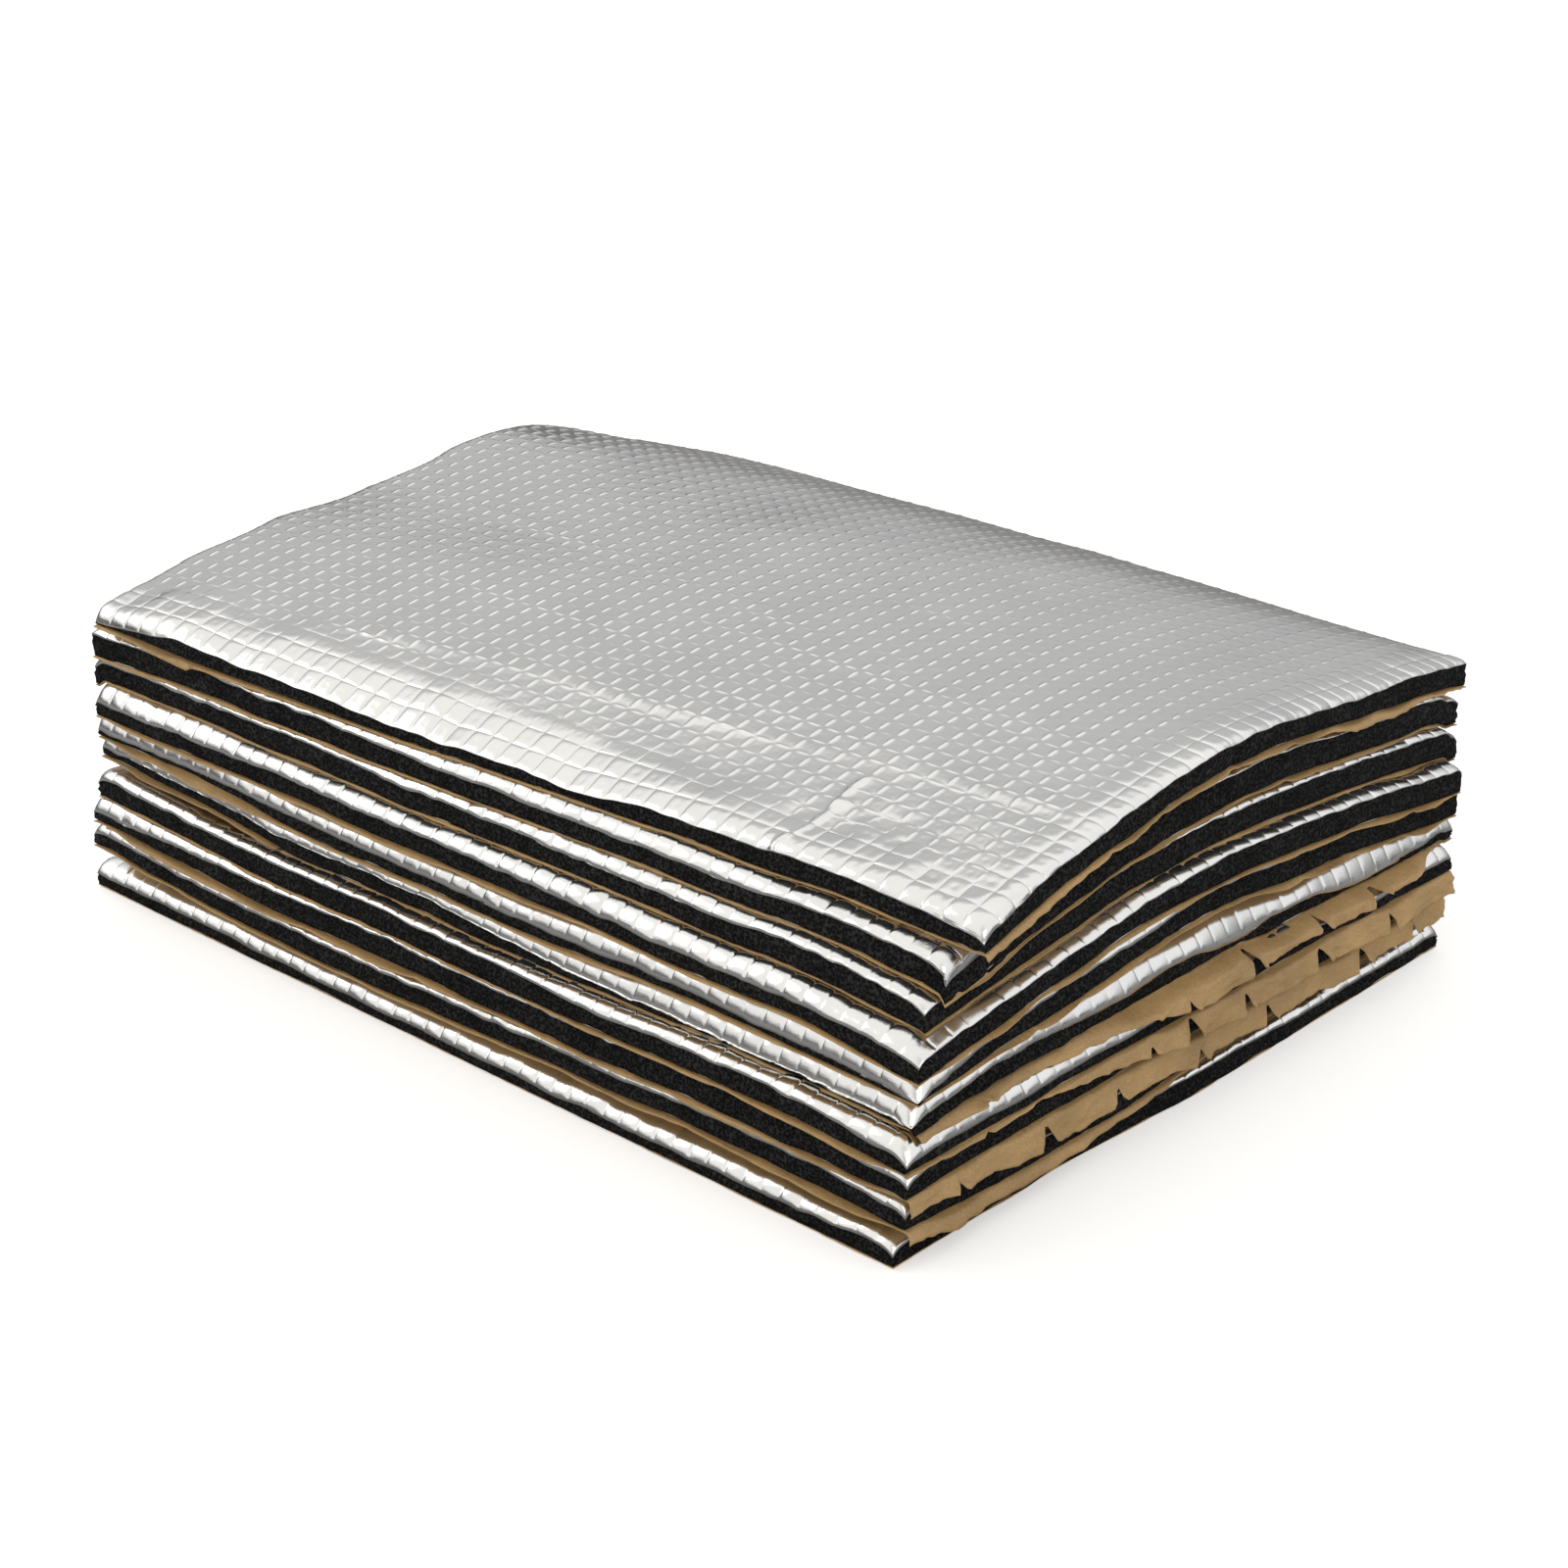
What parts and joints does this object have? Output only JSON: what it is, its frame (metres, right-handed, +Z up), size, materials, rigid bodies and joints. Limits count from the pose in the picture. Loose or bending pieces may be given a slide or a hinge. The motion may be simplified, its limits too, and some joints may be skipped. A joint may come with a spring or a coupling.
{
  "type": "foil-faced insulation foam sheet stack",
  "caption": "Loose stack of self-adhesive closed-cell foam sheets with embossed aluminium facing and kraft release liners, for thermal and sound insulation.",
  "frame": {"origin": "centre of the bottom sheet's underside, on the floor", "axes": "+Z up out of the stack, +X along the sheets' long side, +Y along their short side, away from the long face seen at the left of the picture"},
  "size_m": [0.4174, 0.3231, 0.1319],
  "materials": {
    "foil": "satin",
    "foam": "matte",
    "adhesive": "gloss",
    "kraft": "matte"
  },
  "bodies": {
    "liner_01": {"liner_01": "kraft"},
    "pad_01": {"adhesive_01": "adhesive", "foam_01": "foam", "foil_01": "foil"},
    "liner_02": {"liner_02": "kraft"},
    "pad_02": {"adhesive_02": "adhesive", "foam_02": "foam", "foil_02": "foil"},
    "liner_03": {"liner_03": "kraft"},
    "pad_03": {"adhesive_03": "adhesive", "foam_03": "foam", "foil_03": "foil"},
    "liner_04": {"liner_04": "kraft"},
    "pad_04": {"adhesive_04": "adhesive", "foam_04": "foam", "foil_04": "foil"},
    "liner_05": {"liner_05": "kraft"},
    "pad_05": {"adhesive_05": "adhesive", "foam_05": "foam", "foil_05": "foil"},
    "liner_06": {"liner_06": "kraft"},
    "pad_06": {"adhesive_06": "adhesive", "foam_06": "foam", "foil_06": "foil"},
    "liner_07": {"liner_07": "kraft"},
    "pad_07": {"adhesive_07": "adhesive", "foam_07": "foam", "foil_07": "foil"},
    "liner_08": {"liner_08": "kraft"},
    "pad_08": {"adhesive_08": "adhesive", "foam_08": "foam", "foil_08": "foil"},
    "liner_09": {"liner_09": "kraft"},
    "pad_09": {"adhesive_09": "adhesive", "foam_09": "foam", "foil_09": "foil"},
    "liner_10": {"liner_10": "kraft"},
    "pad_10": {"adhesive_10": "adhesive", "foam_10": "foam", "foil_10": "foil"}
  },
  "joints": [
    {"name": "peel_01", "type": "slide", "parent": "liner_01", "child": "pad_01", "axis": [0, 0, 1], "range_m": [0, 0.04]},
    {"name": "lift_02", "type": "slide", "parent": "pad_01", "child": "liner_02", "axis": [0, 0, 1], "range_m": [0, 0.05]},
    {"name": "peel_02", "type": "slide", "parent": "liner_02", "child": "pad_02", "axis": [0, 0, 1], "range_m": [0, 0.04]},
    {"name": "lift_03", "type": "slide", "parent": "pad_02", "child": "liner_03", "axis": [0, 0, 1], "range_m": [0, 0.05]},
    {"name": "peel_03", "type": "slide", "parent": "liner_03", "child": "pad_03", "axis": [0, 0, 1], "range_m": [0, 0.04]},
    {"name": "lift_04", "type": "slide", "parent": "pad_03", "child": "liner_04", "axis": [0, 0, 1], "range_m": [0, 0.05]},
    {"name": "peel_04", "type": "slide", "parent": "liner_04", "child": "pad_04", "axis": [0, 0, 1], "range_m": [0, 0.04]},
    {"name": "lift_05", "type": "slide", "parent": "pad_04", "child": "liner_05", "axis": [0, 0, 1], "range_m": [0, 0.05]},
    {"name": "peel_05", "type": "slide", "parent": "liner_05", "child": "pad_05", "axis": [0, 0, 1], "range_m": [0, 0.04]},
    {"name": "lift_06", "type": "slide", "parent": "pad_05", "child": "liner_06", "axis": [0, 0, 1], "range_m": [0, 0.05]},
    {"name": "peel_06", "type": "slide", "parent": "liner_06", "child": "pad_06", "axis": [0, 0, 1], "range_m": [0, 0.04]},
    {"name": "lift_07", "type": "slide", "parent": "pad_06", "child": "liner_07", "axis": [0, 0, 1], "range_m": [0, 0.05]},
    {"name": "peel_07", "type": "slide", "parent": "liner_07", "child": "pad_07", "axis": [0, 0, 1], "range_m": [0, 0.04]},
    {"name": "lift_08", "type": "slide", "parent": "pad_07", "child": "liner_08", "axis": [0, 0, 1], "range_m": [0, 0.05]},
    {"name": "peel_08", "type": "slide", "parent": "liner_08", "child": "pad_08", "axis": [0, 0, 1], "range_m": [0, 0.04]},
    {"name": "lift_09", "type": "slide", "parent": "pad_08", "child": "liner_09", "axis": [0, 0, 1], "range_m": [0, 0.05]},
    {"name": "peel_09", "type": "slide", "parent": "liner_09", "child": "pad_09", "axis": [0, 0, 1], "range_m": [0, 0.04]},
    {"name": "lift_10", "type": "slide", "parent": "pad_09", "child": "liner_10", "axis": [0, 0, 1], "range_m": [0, 0.05]},
    {"name": "peel_10", "type": "slide", "parent": "liner_10", "child": "pad_10", "axis": [0, 0, 1], "range_m": [0, 0.04]}
  ]
}
